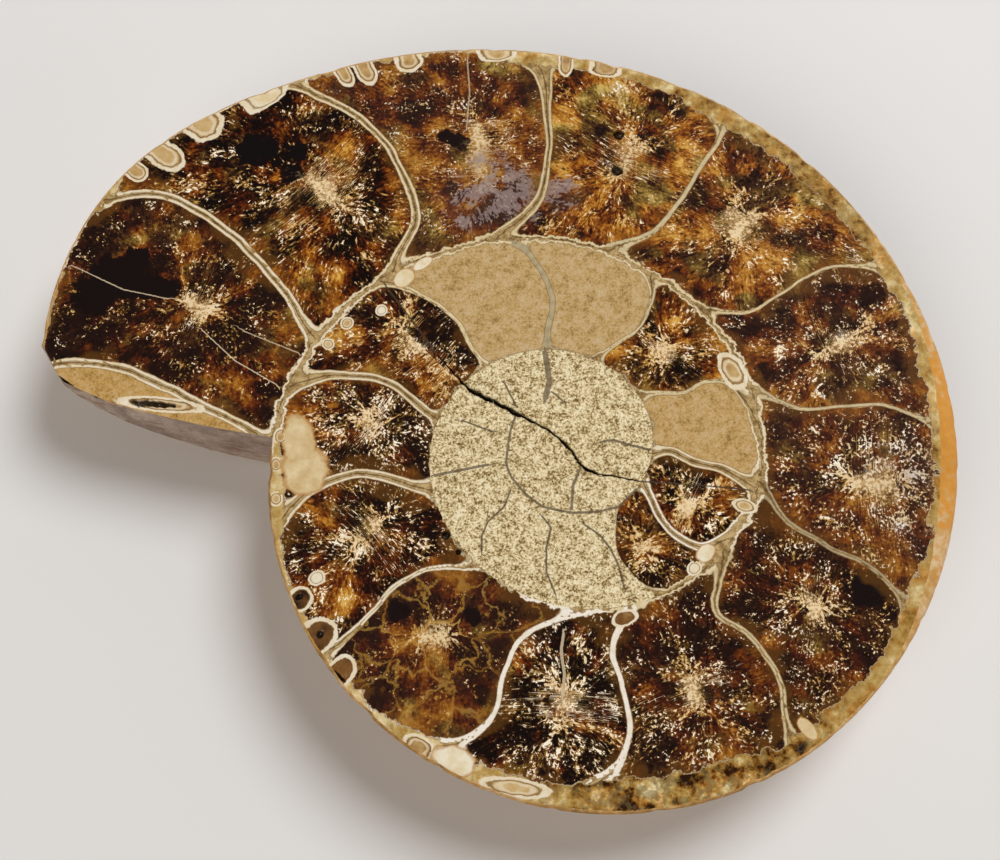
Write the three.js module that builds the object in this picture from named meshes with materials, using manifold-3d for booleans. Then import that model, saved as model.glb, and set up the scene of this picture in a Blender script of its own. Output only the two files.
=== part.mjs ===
// Half of an ammonite, sawn along the plane of its coil and polished.
// It lies with the flat cut face up and the domed shell down, as one closed solid.
// Millimetres, +Z up, origin in the middle of the footprint.

import * as THREE from "three";
import { mergeVertices } from "three/addons/utils/BufferGeometryUtils.js";
import Module from "manifold-3d";

const wasm = await Module();
wasm.setup();

// Driving dimensions
const THICKNESS = 11; // cut face to the lowest part of the shell
const FIRST_TURN = -540; // degrees of coiling, three whorls in all
const LAST_TURN = 540; // a little past the broken aperture
const RADIUS_STEP = 30; // degrees between the radii below
const SECTION_STEP = 5; // degrees between cross sections

// Distance from the coil axis to the outer wall, every RADIUS_STEP from FIRST_TURN on.
const WALL_RADII = [
  5.6, 5.9, 6.3, 7.0, 7.9, 8.7, 9.2, 9.5, 9.7, 10.1, 10.8, 11.8,
  12.9, 13.7, 14.7, 16.1, 17.6, 19.1, 20.0, 20.3, 21.0, 22.4, 24.3, 26.9,
  28.8, 30.4, 32.5, 35.0, 37.2, 38.6, 40.0, 40.5, 42.3, 44.9, 49.4, 55.4,
  52.0, 45.0,
];

// Cross section of a whorl
const SEAM_SHARE = 0.3; // umbilical seam radius over wall radius
const ROOT_SHARE = 0.2; // where the section ends, inside the whorl before
const SHOULDER_ACROSS = 0.7; // where the flank is lowest, from rim 0 to seam 1
const SEAM_DEPTH_SHARE = 0.3; // depth left at the seam
const CORE_HALF_THICKNESS = 1.3; // half thickness that the coil starts with
const THICKENING = 0.255; // half thickness gained per millimetre of radius
const FLANK_STEPS = 8; // facets from rim to shoulder
const UMBILICAL_STEPS = 4; // facets from shoulder to seam

// The rim stands a little outside the cut face, most of all on one side.
const RIM_BAND = 0.3;
const WIDE_BAND = 1.8;
const WIDE_BAND_TURN = 357;
const WIDE_BAND_SPREAD = 38; // degrees to either side

// Plug that closes the middle of the coil
const PLUG_RADIUS = 3;
const PLUG_DEPTH = 2.4;

// The aperture's broken edge on the cut face, from beyond the venter to under the whorl before.
const APERTURE_EDGE = [
  [-70, 15],
  [-54.2, 13],
  [-53, 10.2],
  [-50.8, 7],
  [-45.2, 4.4],
  [-36, 2.1],
  [-29, 0.9],
  [-20, -1.5],
  [-10, -3],
];
const APERTURE_CLEAR = 30; // how far the cutter reaches past the edge

function wallRadius(turn) {
  const place = (turn - FIRST_TURN) / RADIUS_STEP;
  const i = Math.floor(place);
  const t = place - i;
  const [a, b, c, d] = [-1, 0, 1, 2].map((k) => {
    const last = WALL_RADII.length - 1;
    return WALL_RADII[THREE.MathUtils.clamp(i + k, 0, last)];
  });
  const slope = (c - a) / 2;
  const nextSlope = (d - b) / 2;
  const bend = 3 * (c - b) - 2 * slope - nextSlope;
  const twist = 2 * (b - c) + slope + nextSlope;
  return b + t * (slope + t * (bend + t * twist));
}

function bandWidth(turn) {
  const away = Math.abs(turn - WIDE_BAND_TURN) / WIDE_BAND_SPREAD;
  const swell = away < 1 ? Math.cos((away * Math.PI) / 2) ** 2 : 0;
  return RIM_BAND + WIDE_BAND * swell;
}

function halfThickness(turn) {
  const grown = CORE_HALF_THICKNESS + THICKENING * wallRadius(turn);
  return Math.min(THICKNESS, grown);
}

// Share of the whorl's depth that the flank has reached, from rim 0 to seam 1.
function flankDepth(across) {
  if (across <= SHOULDER_ACROSS) {
    const left = 1 - across / SHOULDER_ACROSS;
    return (1 - left ** 2) ** 0.83;
  }
  const past = (across - SHOULDER_ACROSS) / (1 - SHOULDER_ACROSS);
  return 1 - (1 - SEAM_DEPTH_SHARE) * past ** 2.5;
}

function flankShares() {
  const shares = [];
  for (let k = 0; k <= FLANK_STEPS; k++)
    shares.push(SHOULDER_ACROSS * (k / FLANK_STEPS) ** 1.5);
  for (let k = 1; k <= UMBILICAL_STEPS; k++)
    shares.push(SHOULDER_ACROSS + ((1 - SHOULDER_ACROSS) * k) / UMBILICAL_STEPS);
  return shares;
}

// Closed outline of the whorl at a turn, as (distance from the axis, height).
function crossSection(turn) {
  const radius = wallRadius(turn);
  const band = bandWidth(turn);
  const rimDrop = RIM_BAND + band / 2;
  const depth = halfThickness(turn) - rimDrop;
  const outline = [
    new THREE.Vector2(radius * ROOT_SHARE, THICKNESS),
    new THREE.Vector2(radius - band, THICKNESS),
  ];
  for (const across of flankShares()) {
    const r = radius * (1 - across * (1 - SEAM_SHARE));
    const z = THICKNESS - rimDrop - depth * flankDepth(across);
    outline.push(new THREE.Vector2(r, z));
  }
  return outline;
}

// The coil between two turns: its cross sections joined in a loft, with a cap at each end.
function coilGeometry(from, to) {
  const positions = [];
  const triangles = [];
  const count = Math.round((to - from) / SECTION_STEP);
  let size = 0;
  for (let i = 0; i <= count; i++) {
    const turn = from + i * SECTION_STEP;
    const angle = THREE.MathUtils.degToRad(turn);
    const outline = crossSection(turn);
    size = outline.length;
    for (const p of outline)
      positions.push(p.x * Math.cos(angle), p.x * Math.sin(angle), p.y);
  }
  for (let i = 0; i < count; i++)
    for (let k = 0; k < size; k++) {
      const next = (k + 1) % size;
      const [a, b] = [i * size + k, i * size + next];
      const [d, c] = [a + size, b + size];
      triangles.push(a, b, c, a, c, d);
    }
  addCap(triangles, crossSection(from), 0, false);
  addCap(triangles, crossSection(to), count * size, true);
  const geometry = new THREE.BufferGeometry();
  geometry.setAttribute("position", new THREE.Float32BufferAttribute(positions, 3));
  geometry.setIndex(triangles);
  return geometry;
}

function addCap(triangles, outline, offset, flipped) {
  const last = outline.length - 1;
  const contour = outline.toReversed();
  for (const face of THREE.ShapeUtils.triangulateShape(contour, [])) {
    const [a, b, c] = face.map((k) => offset + last - k);
    triangles.push(...(flipped ? [a, c, b] : [a, b, c]));
  }
}

// Everything past the aperture's edge, to be cut away from the last half turn.
function apertureCutter() {
  const edge = APERTURE_EDGE.map(([x, y]) => new THREE.Vector2(x, y));
  const [first, last] = [edge[0], edge.at(-1)];
  const floor = last.y - APERTURE_CLEAR;
  edge.push(new THREE.Vector2(last.x, floor), new THREE.Vector2(first.x, floor));
  const geometry = new THREE.ExtrudeGeometry(new THREE.Shape(edge), {
    depth: THICKNESS + 2,
    bevelEnabled: false,
  });
  return geometry.translate(0, 0, -1);
}

function plugGeometry() {
  const bottom = THICKNESS - PLUG_DEPTH;
  return new THREE.LatheGeometry(
    [
      new THREE.Vector2(0, bottom),
      new THREE.Vector2(PLUG_RADIUS, bottom),
      new THREE.Vector2(PLUG_RADIUS, THICKNESS),
      new THREE.Vector2(0, THICKNESS),
    ],
    24,
  ).rotateX(Math.PI / 2);
}

function toSolid(geometry) {
  geometry.deleteAttribute("normal");
  geometry.deleteAttribute("uv");
  const merged = mergeVertices(geometry, 1e-4);
  return new wasm.Manifold(
    new wasm.Mesh({
      numProp: 3,
      vertProperties: new Float32Array(merged.attributes.position.array),
      triVerts: new Uint32Array(merged.index.array),
    }),
  );
}

function toGeometry(solid) {
  const { vertProperties, triVerts } = solid.getMesh();
  const geometry = new THREE.BufferGeometry();
  geometry.setAttribute("position", new THREE.BufferAttribute(vertProperties, 3));
  geometry.setIndex(new THREE.BufferAttribute(triVerts, 1));
  geometry.computeVertexNormals();
  return geometry;
}

// Half turns overlap by one section, so that they join without a gap.
function ammoniteSolid() {
  let solid = toSolid(plugGeometry());
  for (let from = FIRST_TURN; from < LAST_TURN; from += 180) {
    let piece = toSolid(coilGeometry(from, from + 180 + SECTION_STEP));
    if (from + 180 >= LAST_TURN) piece = piece.subtract(toSolid(apertureCutter()));
    solid = solid.add(piece);
  }
  return solid;
}

function centreOnFootprint(geometry) {
  geometry.computeBoundingBox();
  const { min, max } = geometry.boundingBox;
  return geometry.translate(-(min.x + max.x) / 2, -(min.y + max.y) / 2, -min.z);
}

const ammonite = new THREE.Mesh(
  centreOnFootprint(toGeometry(ammoniteSolid())),
  new THREE.MeshStandardMaterial({ color: 0x7a4a22, roughness: 0.2, metalness: 0 }),
);
ammonite.name = "ammonite_half";

const part = new THREE.Group();
part.add(ammonite);

export default part;
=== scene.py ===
"""Half of an ammonite, sawn along its coil and polished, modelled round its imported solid.

Lengths inside this file are millimetres and angles are degrees until a mesh is finished, when it is
scaled to metres. A place on the fossil is given by its turn, the degrees of coiling up to it, and by
how far across the whorl it lies, from the wall of the whorl before (0) to its own outer wall (1).
"""

import math
from collections import namedtuple

import bmesh
import bpy
import numpy as np
from mathutils import Matrix, Vector, noise


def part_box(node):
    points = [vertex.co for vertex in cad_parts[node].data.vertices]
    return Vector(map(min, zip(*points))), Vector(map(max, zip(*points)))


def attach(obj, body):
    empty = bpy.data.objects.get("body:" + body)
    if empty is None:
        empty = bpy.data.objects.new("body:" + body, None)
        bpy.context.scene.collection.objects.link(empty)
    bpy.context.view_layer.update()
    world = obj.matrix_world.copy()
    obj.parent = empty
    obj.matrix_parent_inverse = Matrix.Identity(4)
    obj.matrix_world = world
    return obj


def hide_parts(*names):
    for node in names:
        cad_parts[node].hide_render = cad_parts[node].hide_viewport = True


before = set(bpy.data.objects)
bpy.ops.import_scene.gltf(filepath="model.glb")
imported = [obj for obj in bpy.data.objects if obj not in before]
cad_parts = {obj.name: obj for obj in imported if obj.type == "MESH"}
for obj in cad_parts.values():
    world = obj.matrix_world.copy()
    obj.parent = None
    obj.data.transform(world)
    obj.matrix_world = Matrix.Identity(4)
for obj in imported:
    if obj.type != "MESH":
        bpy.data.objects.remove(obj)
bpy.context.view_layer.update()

bl_info = {
    "name": "Ammonite half",
    "version": (1, 0, 0),
    "blender": (4, 5, 0),
    "location": "View3D > Sidebar > Ammonite",
    "description": "Builds a sawn and polished ammonite half, with its stage",
    "category": "Mesh",
}

NODE = "ammonite_half"
LOW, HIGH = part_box(NODE)
MM = 0.001
THICKNESS = (HIGH.z - LOW.z) / MM

# The coil: distance from its axis to the outer wall, every RADIUS_STEP from FIRST_TURN on.
FIRST_TURN = -540
RADIUS_STEP = 30
WALL_RADII = np.array([
    5.6, 5.9, 6.3, 7.0, 7.9, 8.7, 9.2, 9.5, 9.7, 10.1, 10.8, 11.8,
    12.9, 13.7, 14.7, 16.1, 17.6, 19.1, 20.0, 20.3, 21.0, 22.4, 24.3, 26.9,
    28.8, 30.4, 32.5, 35.0, 37.2, 38.6, 40.0, 40.5, 42.3, 44.9, 49.4, 55.4,
    52.0, 45.0,
])
EARLY_SHRINK = 0.003  # how fast the coil narrows, per degree, before FIRST_TURN
NOTCH = 178.4  # turn where the aperture's edge meets the whorl before
LAST = NOTCH + 360

# Cross section of a whorl
SEAM_SHARE = 0.3
SHOULDER_ACROSS = 0.7
SEAM_DEPTH_SHARE = 0.3
FLANK_ROUNDNESS = 0.83
SEAM_ROUNDNESS = 2.5
CORE_HALF_THICKNESS = 1.3
THICKENING = 0.255
RIM_BAND = 0.3
WIDE_BAND = 1.8
WIDE_BAND_TURN = 357
WIDE_BAND_SPREAD = 38
RIM_REACH = 5  # degrees past the notch until the free rim has its full form

# Ribs and growth lines run across the flank in the bend of a sickle, in degrees.
SICKLE_BEND = 7
SICKLE_WAVES = 5.2
SICKLE_LEAN = 10
RIB_SPACING = 7.5
RIB_DEPTH = 0.16

# The broken aperture: how many degrees its edge stands back, by place across the whorl.
SETBACK_ACROSS = (0, 0.05, 0.31, 0.69, 0.91, 1)
SETBACK = (0, 0.4, 1.8, 4.0, 6.1, 9.8)
SETBACK_REACH = 40

# Mesh fineness
COLUMNS_PER_TURN = 360
FACE_ROWS = 40
BEVEL_ROWS = 3
FLANK_ROWS = 12
BACK_ROWS = 12
CORE_CELL = 0.55
BREAK_CELL = 0.8
WELD = 2e-3
EDGE_DIP = 6
CORNER_ROUNDING = 2.0  # of the chambers, where a wall meets the whorl

CUT, SHELL, BREAK = 0, 1, 2  # finishes, in the order of the material slots
TURN_LAYER = "turn_here"  # turn of each face, and CORE_TURN less its finish on faces that close a hole
CORE_TURN = -9000
EARLY_REACH = 4  # radii that tell the open rings apart
CORE_REACH = 14
BACK_WHORLS = 4

# Boxes of the unit square that hold the cut, the back and the broken wall for baking.
UV_TOP = (0.004, 0.004, 0.78, 0.68)
UV_BACK = (0.004, 0.69, 0.996, 0.996)
UV_BREAK = (0.80, 0.004, 0.90, 0.68)

# Walls between chambers: turn at each station across the whorl, half the gap between the two
# leaves in the middle and at each end, half a leaf's thickness, and tone from greenish 0 to white 1.
STATIONS = (0, 0.15, 0.4, 0.65, 0.85, 1)
Septum = namedtuple("Septum", "turns gap inner_gap outer_gap leaf tone")
SEPTA = (
    Septum((-50, -56.5, -63.2, -63, -60.9, -59), 0.0, 0.2, 0.3, 0.12, 0.4),
    Septum((-24, -30.5, -37.2, -38.7, -36.5, -29), 0.28, 0.3, 0.7, 0.13, 0.9),
    Septum((-4.5, -3.2, -7.5, -8.2, -11.4, -13), 0.35, 0.3, 0.8, 0.13, 0.7),
    Septum((33, 29.6, 24, 24.5, 19.5, 5), 0.05, 0.2, 0.4, 0.14, 0.5),
    Septum((68, 63.5, 57.6, 57.8, 60, 63), 0.05, 0.2, 0.5, 0.13, 0.5),
    Septum((96.5, 95, 92.4, 94.3, 97.8, 102), 0.0, 0.0, 0.0, 0.3, 0.2),
    Septum((132, 130.9, 128.2, 130.4, 133.3, 136), 0.05, 0.1, 0.4, 0.15, 0.6),
    Septum((168, 164, 159, 160.6, 163.9, 167), 0.3, 0.5, 0.9, 0.14, 0.7),
    Septum((200, 194, 188.2, 189.6, 193.3, 196.5), 0.36, 0.5, 0.6, 0.14, 0.75),
    Septum((236, 226.5, 221.6, 222.6, 223.1, 222), 0.1, 0.2, 0.6, 0.14, 0.8),
    Septum((276, 261.5, 256.2, 255.5, 250.8, 243), 0.0, 0.1, 0.8, 0.24, 1.0),
    Septum((293, 284.5, 283.2, 282, 275.5, 266), 0.0, 0.2, 0.8, 0.26, 0.95),
    Septum((327, 313.6, 313.2, 311.4, 306.9, 306), 0.12, 0.4, 0.4, 0.14, 0.45),
    Septum((349.5, 342, 338.8, 337.6, 334.8, 331.5), 0.1, 0.3, 0.2, 0.12, 0.2),
    Septum((377.5, 370.5, 368.2, 367.2, 363.8, 361), 0.0, 0.2, 0.2, 0.16, 0.4),
    Septum((405, 397.5, 395.3, 394.5, 391, 387), 0.0, 0.2, 0.3, 0.15, 0.5),
    Septum((436, 428, 424.4, 423.6, 423.2, 426), 0.0, 0.4, 0.5, 0.22, 0.45),
    Septum((466, 456, 451.7, 451.4, 451.8, 453.5), 0.25, 0.6, 1.8, 0.15, 0.5),
    Septum((493, 482.5, 478.5, 479.1, 482.2, 485.5), 0.28, 0.5, 0.4, 0.15, 0.65),
    Septum((516, 511, 506.7, 505.8, 507, 511), 0.3, 0.5, 0.4, 0.17, 0.75),
    Septum((539.5, 536, 532.3, 529.7, 529.9, 531.5), 0.35, 0.4, 0.3, 0.16, 0.75),
)

# What fills the space after each wall, the first entry lying before the first wall: share of mud,
# share of grains, then the crystals' amber, gold and fleck shares, a share of painted sheen (a reflection
# on the polished crystals, painted into their colour), and the line they grew to.
Filling = namedtuple("Filling", "mud grains amber gold flecks haze centre")
FILLINGS = (
    Filling(0, 1, 0.3, 0.3, 0.3, 0.0, ((-90, 0.5), (-90, 0.5))),
    Filling(0, 0, 0.35, 0.8, 0.6, 0.0, ((-53, 0.55), (-51, 0.45))),
    Filling(0, 0, 0.3, 1.0, 0.8, 0.0, ((-24, 0.42), (-24, 0.55))),
    Filling(1, 0, 0.5, 0.3, 0.2, 0.0, ((9, 0.5), (9, 0.5))),
    Filling(0, 0, 0.6, 1.0, 0.75, 0.0, ((43, 0.4), (44, 0.5))),
    Filling(1, 0, 0.15, 0.3, 0.2, 0.0, ((75, 0.5), (75, 0.5))),
    Filling(1, 0, 0.15, 0.3, 0.2, 0.0, ((115, 0.5), (115, 0.5))),
    Filling(0, 0, 0.42, 0.8, 0.7, 0.0, ((142, 0.6), (146, 0.1))),
    Filling(0, 0, 0.15, 0.7, 0.85, 0.0, ((173, 0.36), (171, 0.44))),
    Filling(0, 0, 0.28, 0.8, 0.8, 0.0, ((204, 0.36), (206, 0.5))),
    Filling(0, 0, 0.2, 0.1, 0.12, 0.0, ((240, 0.4), (234, 0.5))),
    Filling(0, 0, 0.1, 0.9, 0.95, 0.0, ((270, 0.42), (269.6, 0.56))),
    Filling(0, 0, 0.32, 0.45, 0.72, 0.0, ((298, 0.42), (297, 0.56))),
    Filling(0, 0, 0.25, 0.35, 0.68, 0.0, ((326, 0.48), (327, 0.54))),
    Filling(0, 0, 0.5, 0.3, 0.68, 0.1, ((353, 0.47), (354, 0.68))),
    Filling(0, 0, 0.55, 0.35, 0.68, 0.05, ((381, 0.45), (381, 0.58))),
    Filling(0, 0, 0.6, 0.8, 0.68, 0.05, ((410, 0.42), (412, 0.56))),
    Filling(0, 0, 0.65, 1.0, 0.66, 0.1, ((438, 0.4), (436, 0.6))),
    Filling(0, 0, 0.7, 0.5, 0.6, 0.15, ((465, 0.32), (463, 0.6))),
    Filling(0, 0, 0.35, 1.0, 0.7, 0.0, ((491, 0.38), (492, 0.56))),
    Filling(0, 0, 0.1, 0.5, 0.5, 0.0, ((518, 0.42), (518, 0.5))),
    Filling(1, 0, 1.0, 0.3, 0.2, 0.0, ((535, 0.5), (535, 0.5))),
)

# Wall between whorls, named by the turn of the whorl it closes: turn, half gap, half leaf, tone.
WALL_FORMS = np.array([
    (-541, 0.0, 0.10, 0.25),
    (-182, 0.0, 0.10, 0.25),
    (-110, 0.0, 0.12, 0.3),
    (-103, 0.05, 0.2, 0.95),
    (-78, 0.05, 0.22, 0.95),
    (-71, 0.1, 0.15, 0.5),
    (-60, 0.25, 0.14, 0.6),
    (-20, 0.45, 0.16, 0.8),
    (10, 0.35, 0.16, 0.7),
    (60, 0.3, 0.15, 0.6),
    (120, 0.25, 0.15, 0.6),
    (150, 0.35, 0.16, 0.75),
    (178, 0.42, 0.16, 0.8),
    (200, 0.3, 0.18, 0.75),
    (250, 0.3, 0.2, 0.85),
    (300, 0.25, 0.15, 0.5),
    (360, 0.2, 0.15, 0.5),
    (420, 0.2, 0.15, 0.6),
    (480, 0.15, 0.15, 0.8),
    (540, 0.15, 0.15, 0.8),
])

# Infill between the last whorl's crystals and its shell: turn, width, tone, and share of rubble.
MARGIN = np.array([
    (178, 0.2, 0.85, 0.1),
    (183, 1.9, 0.85, 0.1),
    (189, 2.0, 0.85, 0.1),
    (196, 0.9, 0.8, 0.1),
    (205, 0.6, 0.75, 0.2),
    (225, 0.9, 0.85, 0.3),
    (240, 1.0, 0.85, 0.3),
    (247, 2.0, 0.95, 0.2),
    (256, 2.2, 0.9, 0.3),
    (266, 2.0, 0.75, 0.4),
    (276, 3.0, 0.55, 0.9),
    (296, 3.2, 0.5, 1.0),
    (306, 1.8, 0.5, 0.6),
    (325, 2.0, 0.6, 0.15),
    (345, 2.4, 0.62, 0.15),
    (360, 3.0, 0.72, 0.3),
    (372, 2.6, 0.8, 0.2),
    (382, 1.9, 0.75, 0.3),
    (392, 1.8, 0.6, 0.5),
    (412, 2.4, 0.55, 0.5),
    (425, 2.2, 0.6, 0.4),
    (440, 1.3, 0.7, 0.3),
    (450, 1.9, 0.75, 0.3),
    (456, 1.7, 0.75, 0.3),
    (462, 0.4, 0.75, 0.2),
    (480, 0.5, 0.7, 0.2),
    (500, 0.3, 0.7, 0.2),
    (540, 0.25, 0.7, 0.2),
])

# Soft changes of colour inside the crystals, as turn, across, radius and strength of each spot. The last
# kind is painted sheen: a reflection on the polished crystals, painted into their colour.
STAINS = {
    "black": (
        (521.3, 0.84, 2.6, 1), (518.4, 0.81, 2.6, 1), (518.2, 0.73, 2.2, 1), (515.6, 0.75, 1.8, 1),
        (517.8, 0.65, 1.9, 1), (517.4, 0.58, 1.3, 1), (494, 0.75, 2.5, 1), (490, 0.67, 1.3, 1),
        (493, 0.59, 1.4, 1), (226, 0.5, 1.3, 0.9), (243, 0.24, 1.2, 0.9), (334, 0.7, 2.8, 0.8),
        (467, 0.5, 1.3, 0.9), (469, 0.55, 0.9, 0.9),
    ),
    "amber": (
        (152, 0.85, 2.4, 1), (155, 0.5, 2.2, 1), (174, 0.9, 2.2, 0.9), (190, 0.72, 2, 0.9),
        (208, 0.97, 1.6, 0.9), (215, 0.72, 2.6, 1), (225, 0.11, 2, 1), (235, 0.6, 4, 0.6),
        (244, 0.8, 2.6, 1), (262, 0.85, 2.4, 1), (503.8, 0.13, 3.4, 1), (509.8, 0.64, 2.2, 0.9),
        (512, 0.74, 2.2, 0.8), (531.2, 0.15, 3, 1), (528, 0.6, 5, 0.5), (430, 0.3, 3, 0.6),
        (443, 0.8, 3, 0.8), (449, 0.63, 2.4, 0.8), (426, 0.68, 2.6, 0.8), (402, 0.4, 3, 0.6),
    ),
    "pale": (
        (215, 0.72, 2.6, 0.3), (509.8, 0.64, 2.2, 0.2), (443, 0.8, 3, 0.2), (355, 0.72, 4.5, 0.35),
        (345, 0.78, 3.5, 0.3),
    ),
    "haze": (
        (355, 0.72, 4.5, 0.3), (345, 0.78, 3.5, 0.25), (468, 0.2, 3.2, 1), (459, 0.22, 3, 1),
        (463, 0.36, 2.4, 0.8), (449, 0.24, 2, 0.9),
    ),
}

# Small frilled lobes and knobs: turn, across, half length outwards, half width, lean in degrees,
# what lies inside the pale leaf, from dark 0 through tan 0.5 to white 1 (2 more: no leaf), and
# whether the leaf is a ring 0 or open towards the rim 1.
LOBES = (
    (533.9, 0.48, 4.6, 0.8, 0, 0.5, 0),
    (505.8, 0.955, 1.1, 1.05, 0, 0.55, 1),
    (502.3, 0.93, 2.2, 1.5, 0, 0.6, 1),
    (496.4, 0.96, 2.0, 2.1, 0, 0.6, 1),
    (488.5, 0.955, 0.9, 2.7, 0, 0.85, 1),
    (478.6, 0.955, 1.7, 0.9, 0, 0.5, 1),
    (475.9, 0.945, 2.0, 1.1, 0, 0.5, 1),
    (470.0, 0.96, 1.5, 1.5, 0, 0.5, 1),
    (458.0, 0.96, 0.8, 2.2, 0, 0.6, 1),
    (448.4, 0.93, 1.2, 0.8, 0, 0.45, 1),
    (442.6, 0.95, 0.8, 1.8, 0, 0.45, 1),
    (211.5, 0.945, 1.25, 1.2, 0, 0.1, 0),
    (219.0, 0.93, 1.7, 1.7, 0, 0.2, 1),
    (226.6, 0.95, 1.7, 1.3, 0, 0.3, 1),
    (209.4, 0.81, 0.85, 0.75, 0, 1.0, 0),
    (141.5, 0.80, 0.65, 0.65, 0, 1.0, 0),
    (148.9, 0.90, 0.7, 0.7, 0, 0.6, 0),
    (155.4, 0.91, 0.7, 0.6, 0, 0.6, 0),
    (245.0, 0.96, 1.0, 1.6, 0, 0.5, 1),
    (251.5, 0.93, 1.7, 2.8, 0, 2.95, 0),
    (262.0, 0.94, 0.9, 3.4, 0, 0.6, 0),
    (309.5, 0.90, 1.7, 0.8, 0, 2.8, 0),
    (289.0, 0.06, 0.8, 1.3, 0, 0.3, 0),
    (186.0, 0.77, 3.0, 3.2, 0, 2.74, 0),
    (179.5, 0.83, 2.1, 4.0, 10, 2.72, 0),
    (178.0, 0.95, 0.7, 0.9, 0, 0.6, 0),
    (184.0, 0.955, 0.6, 0.8, 0, 0.55, 0),
    (191.0, 0.95, 0.7, 0.8, 0, 0.55, 0),
    (-38.0, 0.90, 1.0, 1.4, 0, 2.95, 0),
    (-44.0, 0.94, 0.7, 0.8, 0, 0.9, 0),
    (-19.0, 0.96, 1.3, 0.7, 0, 0.6, 0),
    (24.0, 0.91, 1.3, 2.2, 0, 0.55, 0),
    (131.5, 0.92, 1.2, 1.6, 0, 2.9, 0),
    (125.5, 0.96, 0.7, 1.6, 0, 2.95, 0),
)

# Hollows open on the cut: turn, across, half length outwards, half width, depth.
HOLLOWS = (
    (439, 0.62, 0.65, 0.6, 0.7),
    (435, 0.65, 0.3, 0.35, 0.4),
    (438, 0.43, 0.6, 0.65, 0.8),
    (219, 0.03, 0.45, 0.4, 0.6),
    (227, 0.03, 0.35, 0.3, 0.5),
    (533.9, 0.52, 2.4, 0.34, 0.6),
    (307.5, 0.955, 0.35, 0.8, 0.25),
    (211, 0.945, 0.4, 0.3, 0.4),
    (219, 0.935, 0.4, 0.4, 0.4),
    (227, 0.975, 0.2, 0.9, 0.4),
)

# The open crack, as points from the axis and its share of the full width there; then veins, as
# half width, tone from dark 0 to white 1, and points.
CRACK = (
    (-12.4, 9.6, 0.15), (-10.2, 7.0, 0.3), (-9.0, 5.8, 0.8), (-7.5, 5.0, 1.0), (-6.0, 4.3, 0.8),
    (-4.5, 3.4, 0.9), (-3.0, 2.7, 0.45), (-1.9, 2.0, 0.5), (-0.8, 1.3, 0.4), (0.3, 0.4, 0.5),
    (1.2, -0.7, 0.5), (1.9, -1.9, 0.55), (2.9, -2.6, 0.65), (3.9, -3.0, 0.4), (5.4, -3.2, 0.3),
    (7.8, -3.7, 0.15),
)
CRACK_LINE = tuple(place[:2] for place in CRACK)
Vein = namedtuple("Vein", "half_width tone points")
VEINS = (
    Vein(0.06, 0.0, CRACK_LINE),
    Vein(0.09, 0.1, ((-17.9, 17.3), (-13.1, 10.7), (-12.4, 9.6))),
    Vein(0.08, 0.1, ((7.8, -3.7), (13.7, -4.1), (18.7, -4.6))),
    Vein(0.09, 0.15, ((-5.0, -4.7), (-5.6, -6.3), (-7.2, -7.8), (-7.8, -9.3), (-7.8, -10.8))),
    Vein(0.09, 0.15, ((-1.9, -7.2), (-1.0, -8.4), (-1.5, -10.4), (-1.5, -12.8), (-0.7, -14.8))),
    Vein(0.09, 0.15, ((2.2, -8.0), (3.7, -9.1), (4.7, -10.4), (5.5, -12.1), (6.0, -14.4))),
    Vein(0.13, 0.25, ((-12.5, -3.1), (-10.6, -2.7), (-7.2, -2.0))),
    Vein(0.08, 0.15, ((-9.8, 2.6), (-8.7, 2.2), (-6.7, 1.4))),
    Vein(0.08, 0.15, ((-5.6, 6.7), (-5.0, 5.4), (-4.3, 4.0))),
    Vein(0.28, 0.35, ((-1.4, 9.9), (-1.0, 6.8), (-1.4, 5.0))),
    Vein(0.10, 0.25, ((-0.7, 5.6), (0.5, 4.5))),
    Vein(0.11, 0.2, ((3.9, 0.3), (5.2, 0.6), (7.1, 0.0), (9.0, -0.5))),
    Vein(0.13, 0.3, ((1.9, -2.5), (1.2, -4.1), (1.0, -6.7))),
    Vein(0.11, 0.25, (
        (-4.3, 3.4), (-4.9, 1.8), (-5.2, 0.1), (-5.4, -2.0), (-4.8, -3.4), (-3.5, -5.0), (-1.8, -6.3),
        (1.0, -6.9), (3.5, -6.8), (5.7, -6.3), (7.4, -4.5),
    )),
    Vein(0.045, 0.75, ((-50.5, 19.5), (-45.0, 16.8), (-40.0, 15.7))),
    Vein(0.045, 0.8, ((-36.5, 12.3), (-33.0, 9.0), (-28.6, 6.4))),
    Vein(0.04, 0.7, ((-32.5, 12.3), (-26.5, 9.8))),
    Vein(0.07, 0.6, ((-9.6, 44.3), (-9.3, 40.0), (-9.6, 35.5))),
    Vein(0.13, 0.7, ((0.1, -18.6), (-0.2, -20.4), (0.1, -22.6), (-0.1, -24.6))),
)

# Stage: the camera, and lights with their places and sizes in metres.
LENS = 46.8
SENSOR = 36
LOOKED_AT = (-6.0, 1.6)  # from the coil's axis
FLOOR_HALF = 1.5
Light = namedtuple("Light", "name place size power colour mirrored")
LIGHTS = (
    Light("window", (0.38, 0.42, 0.77), 0.5, 6.8, (1.0, 1.0, 0.995), False),
    Light("wall", (-0.70, -0.95, 1.0), 1.2, 10.5, (1.0, 0.9, 0.8), True),
)
FAR = 9.0  # stands for "nothing near" in the shading attributes


# ---------------------------------------------------------------- the coil's shape

def smooth(value):
    """An eased step from 0 to 1, with values outside held at the ends."""
    held = np.clip(value, 0, 1)
    return held * held * (3 - 2 * held)


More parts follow.
